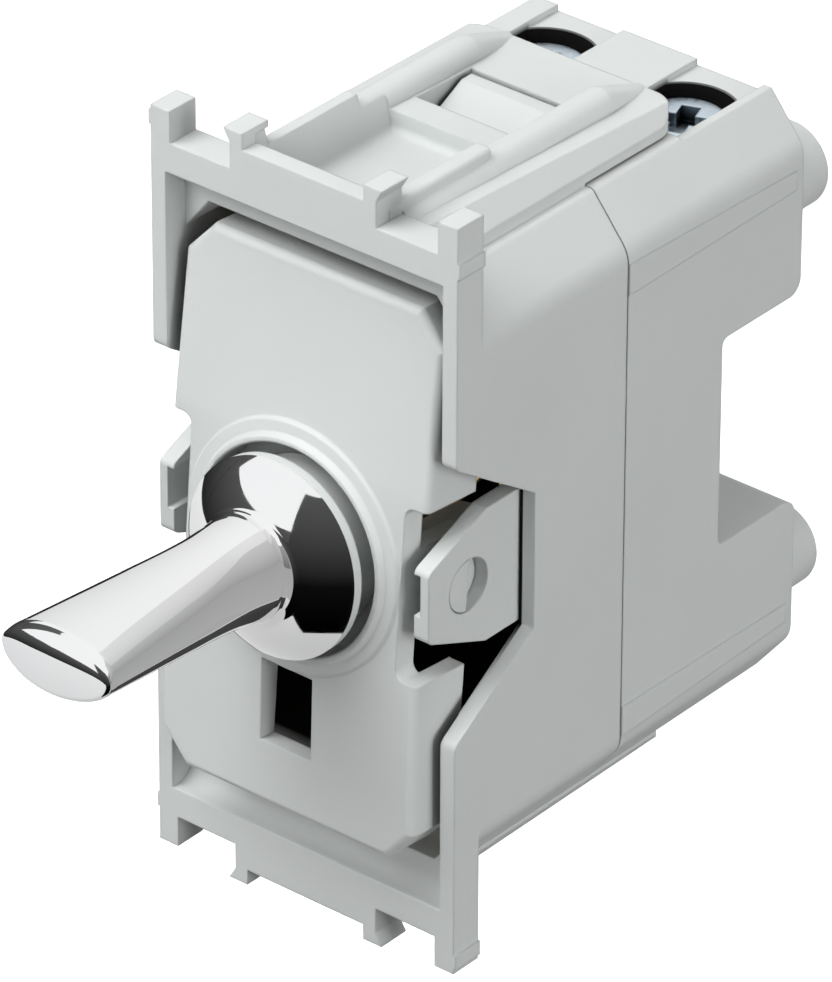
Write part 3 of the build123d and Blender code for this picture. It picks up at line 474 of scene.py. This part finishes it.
def dome_rings():
    # The stud and its bore, the dome, and the flare that leads into the stalk
    stud_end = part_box("lever")[1].y * MM_PER_M
    rings = [round_ring(stud_end, BORE_R), round_ring(stud_end, STUD_R), round_ring(RIM_Y, STUD_R)]
    flare_r = ROOT_R + FLARE_R
    flare_y = PIVOT_Y - math.sqrt((DOME_R + FLARE_R) ** 2 - flare_r ** 2)
    rim = math.acos((PIVOT_Y - RIM_Y) / DOME_R)
    meet = math.asin(flare_r / (DOME_R + FLARE_R))
    for i in range(DOME_STEPS + 1):
        angle = rim + (meet - rim) * i / DOME_STEPS
        rings.append(round_ring(PIVOT_Y - DOME_R * math.cos(angle), DOME_R * math.sin(angle)))
    for i in range(1, FLARE_STEPS):
        share = i / FLARE_STEPS
        angle = math.pi / 2 + meet + (math.pi / 2 - meet) * share
        radius = flare_r + FLARE_R * math.cos(angle)
        rise = STALK_RISE * share * share * (3 - 2 * share)
        rings.append(round_ring(flare_y + FLARE_R * math.sin(angle), radius, rise))
    return rings


def stalk_rings():
    # The flattened stalk, its rounded end, and the domed face that closes it
    top_start = TIP_Y + TIP_TOP_R
    edge_start = TIP_Y + TIP_EDGE_R
    root = STALK_Y[0]
    levels = [root + (top_start - root) * i / STALK_STEPS for i in range(STALK_STEPS)]
    levels += quarter(top_start, TIP_TOP_R, TIP_TOP_STEPS)
    levels += quarter(edge_start, TIP_EDGE_R, TIP_EDGE_STEPS)
    rings = []
    for y in sorted(set(levels), reverse=True):
        half_w = hermite(STALK_Y, STALK_HALF_W, y)
        half_h = hermite(STALK_Y, STALK_HALF_H, y)
        turned = inset(edge_start - y, TIP_EDGE_R)
        up = half_h - inset(top_start - y, TIP_TOP_R)
        dome = min(max((top_start - y) / TIP_TOP_R, 0.0), 1.0)
        rings.append((y, half_w - turned, up, half_h - turned, STALK_RISE, dome))
    y, half_w, up, down = rings[-1][:4]
    for i in range(1, END_STEPS):
        share = 1 - i / END_STEPS
        rings.append((y, half_w * share, up * share, down * share, STALK_RISE, 1))
    return rings


def ring_faces(ring_count, last):
    # Quads from ring to ring, with a fan at the bore's end and one at the tip
    count = RING_POINTS
    top = 1 + (ring_count - 1) * count
    faces = [(0, 1 + (j + 1) % count, 1 + j) for j in range(count)]
    for i in range(ring_count - 1):
        low = 1 + i * count
        for j in range(count):
            after = (j + 1) % count
            faces.append((low + j, low + after, low + count + after, low + count + j))
    faces += [(top + j, top + (j + 1) % count, last) for j in range(count)]
    return faces


def lever_mesh():
    # Each ring is (y, half width, half height up, half height down, rise, share of the end's dome)
    turns = [2 * math.pi * j / RING_POINTS for j in range(RING_POINTS)]
    verts = [(0, BORE_END_Y, 0)]
    verts += [(BORE_R * math.cos(turn), BORE_END_Y, BORE_R * math.sin(turn)) for turn in turns]
    for y, half_w, up, down, rise, dome in dome_rings() + stalk_rings():
        for turn in turns:
            x = half_w * math.cos(turn)
            z = (up if math.sin(turn) > 0 else down) * math.sin(turn)
            verts.append((x, y + dome * (x * x + z * z) / (2 * TIP_DOME_R), z + rise))
    verts.append((0, TIP_Y, STALK_RISE))
    faces = ring_faces((len(verts) - 2) // RING_POINTS, len(verts) - 1)
    pivot = Matrix.Translation((0, PIVOT_Y, 0))
    tilt = pivot @ Matrix.Rotation(math.radians(-REST_TILT), 4, "X") @ pivot.inverted()
    mesh = bpy.data.meshes.new("lever_body")
    mesh.from_pydata([(tilt @ Vector(v)) * MM for v in verts], [], faces)
    mesh.validate()
    mesh.shade_smooth()
    mesh.set_sharp_from_angle(angle=math.radians(SHARP_ANGLE))
    mesh.materials.append(MATERIALS["chrome"])
    return mesh


def chrome_lever():
    # One turned and pressed piece: the dome, its flared root, and the stalk with its rounded end
    lever = bpy.data.objects.new("lever_body", lever_mesh())
    bpy.context.collection.objects.link(lever)
    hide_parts("lever")
    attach(lever, "rocker")


def place_camera():
    azimuth = math.radians(AZIMUTH)
    elevation = math.radians(ELEVATION)
    roll = math.radians(ROLL)
    level = math.cos(elevation)
    back = Vector((math.sin(azimuth) * level, -math.cos(azimuth) * level, math.sin(elevation)))
    right = Vector((math.cos(azimuth), math.sin(azimuth), 0))
    up = back.cross(right)
    rolled_right = right * math.cos(roll) + up * math.sin(roll)
    rolled_up = up * math.cos(roll) - right * math.sin(roll)
    eye = Vector(AIM) + right * AIM_RIGHT + up * AIM_UP + back * DISTANCE
    turn = Matrix((rolled_right, rolled_up, back)).transposed().to_4x4()
    data = bpy.data.cameras.new("camera")
    data.sensor_fit = "VERTICAL"
    data.sensor_height = SENSOR
    data.lens = FOCAL_PX / IMAGE_H * SENSOR
    data.clip_start = CLIP_START
    data.clip_end = CLIP_END
    camera = bpy.data.objects.new("camera", data)
    camera.matrix_world = Matrix.Translation(eye) @ turn
    bpy.context.collection.objects.link(camera)
    bpy.context.scene.camera = camera


def area_light(name, place, size, power):
    data = bpy.data.lights.new(name, "AREA")
    data.shape = "RECTANGLE"
    data.size = size
    data.size_y = size
    data.energy = power
    light = bpy.data.objects.new(name, data)
    direction = Vector(place) - Vector(LAMP_AIM)
    turn = direction.to_track_quat("Z", "Y").to_matrix().to_4x4()
    light.matrix_world = Matrix.Translation(place) @ turn
    light.visible_glossy = False
    bpy.context.collection.objects.link(light)


def emission(name, low, high, z_low, z_high):
    # Brightness that runs from low to high over the height of a card
    material = bpy.data.materials.new(name)
    material.use_nodes = True
    tree = material.node_tree
    tree.nodes.clear()
    output = tree.nodes.new("ShaderNodeOutputMaterial")
    light = add(tree, "ShaderNodeEmission", Color=(1, 1, 1, 1))
    spread = add(tree, "ShaderNodeMapRange",
                 From_Min=z_low, From_Max=z_high, To_Min=low, To_Max=high)
    tree.links.new(object_place(tree)[2], spread.inputs["Value"])
    tree.links.new(spread.outputs["Result"], light.inputs["Strength"])
    tree.links.new(light.outputs["Emission"], output.inputs["Surface"])
    return material


def on_sphere(azimuth, elevation, radius):
    # Azimuth 0 is in front of the switch, and it grows towards its right side
    a = math.radians(azimuth)
    e = math.radians(elevation)
    level = radius * math.cos(e)
    return (level * math.sin(a), -level * math.cos(a), radius * math.sin(e))


def between(ends, share):
    return ends[0] + (ends[1] - ends[0]) * share


def studio_card(name, azimuths, elevations, low, high, layer):
    # A curved studio card that shows only in glossy reflections
    radius = CARD_RADIUS * (1 - CARD_LAYER_STEP * layer)
    row = CARD_STEPS + 1
    shares = [i / CARD_STEPS for i in range(row)]
    verts = [on_sphere(between(azimuths, across), between(elevations, up), radius)
             for up in shares for across in shares]
    corners = [i * row + j for i in range(CARD_STEPS) for j in range(CARD_STEPS)]
    faces = [(corner, corner + 1, corner + row + 1, corner + row) for corner in corners]
    mesh = bpy.data.meshes.new(name)
    mesh.from_pydata(verts, [], faces)
    z_low, z_high = (radius * math.sin(math.radians(end)) for end in elevations)
    mesh.materials.append(emission(name, low, high, z_low, z_high))
    card = bpy.data.objects.new(name, mesh)
    bpy.context.collection.objects.link(card)
    card.visible_camera = False
    card.visible_diffuse = False
    card.visible_transmission = False
    card.visible_shadow = False


def seen_directly(tree):
    # 1 for camera, glossy and transmission rays, 0 for the light that falls on the object
    path = tree.nodes.new("ShaderNodeLightPath").outputs
    seen = math_node(tree, "MAXIMUM", path["Is Camera Ray"], path["Is Glossy Ray"])
    return math_node(tree, "MAXIMUM", seen, path["Is Transmission Ray"])


def white_floor():
    # Pale ground below the switch. It shows white directly, and keeps the switch's shadow
    half = FLOOR_SIZE / 2
    corners = [(-half, -half, 0), (half, -half, 0), (half, half, 0), (-half, half, 0)]
    mesh = bpy.data.meshes.new("ground")
    mesh.from_pydata(corners, [], [(0, 1, 2, 3)])
    material, tree, shader = node_tree("ground")
    shader.inputs["Roughness"].default_value = FLOOR_ROUGH
    shader.inputs["Specular IOR Level"].default_value = 0.0
    seen = seen_directly(tree)
    mix = colour_mix(tree, seen, FLOOR_GREY)
    mix.inputs["B"].default_value = (FLOOR_SEEN, FLOOR_SEEN, FLOOR_SEEN, 1)
    tree.links.new(mix.outputs["Result"], shader.inputs["Base Color"])
    shader.inputs["Emission Color"].default_value = (1, 1, 1, 1)
    glow = math_node(tree, "MULTIPLY", seen, FLOOR_GLOW)
    tree.links.new(glow, shader.inputs["Emission Strength"])
    mesh.materials.append(material)
    ground = bpy.data.objects.new("ground", mesh)
    ground.location = (0, 0, FLOOR_Z)
    ground.visible_glossy = False
    bpy.context.collection.objects.link(ground)


def white_world():
    world = bpy.data.worlds.new("world")
    world.use_nodes = True
    bpy.context.scene.world = world
    tree = world.node_tree
    tree.nodes.clear()
    output = tree.nodes.new("ShaderNodeOutputWorld")
    lit = add(tree, "ShaderNodeBackground", Color=(1, 1, 1, 1), Strength=WORLD_LEVEL)
    seen = add(tree, "ShaderNodeBackground", Color=(1, 1, 1, 1), Strength=WORLD_SEEN)
    mix = tree.nodes.new("ShaderNodeMixShader")
    tree.links.new(seen_directly(tree), mix.inputs["Fac"])
    tree.links.new(lit.outputs[0], mix.inputs[1])
    tree.links.new(seen.outputs[0], mix.inputs[2])
    tree.links.new(mix.outputs[0], output.inputs["Surface"])


dress_nodes()
chrome_lever()
place_camera()
white_world()
white_floor()
for card_row in CARDS:
    studio_card(*card_row)
for lamp_row in LAMPS:
    area_light(*lamp_row)

bpy.context.scene.view_settings.view_transform = "Standard"
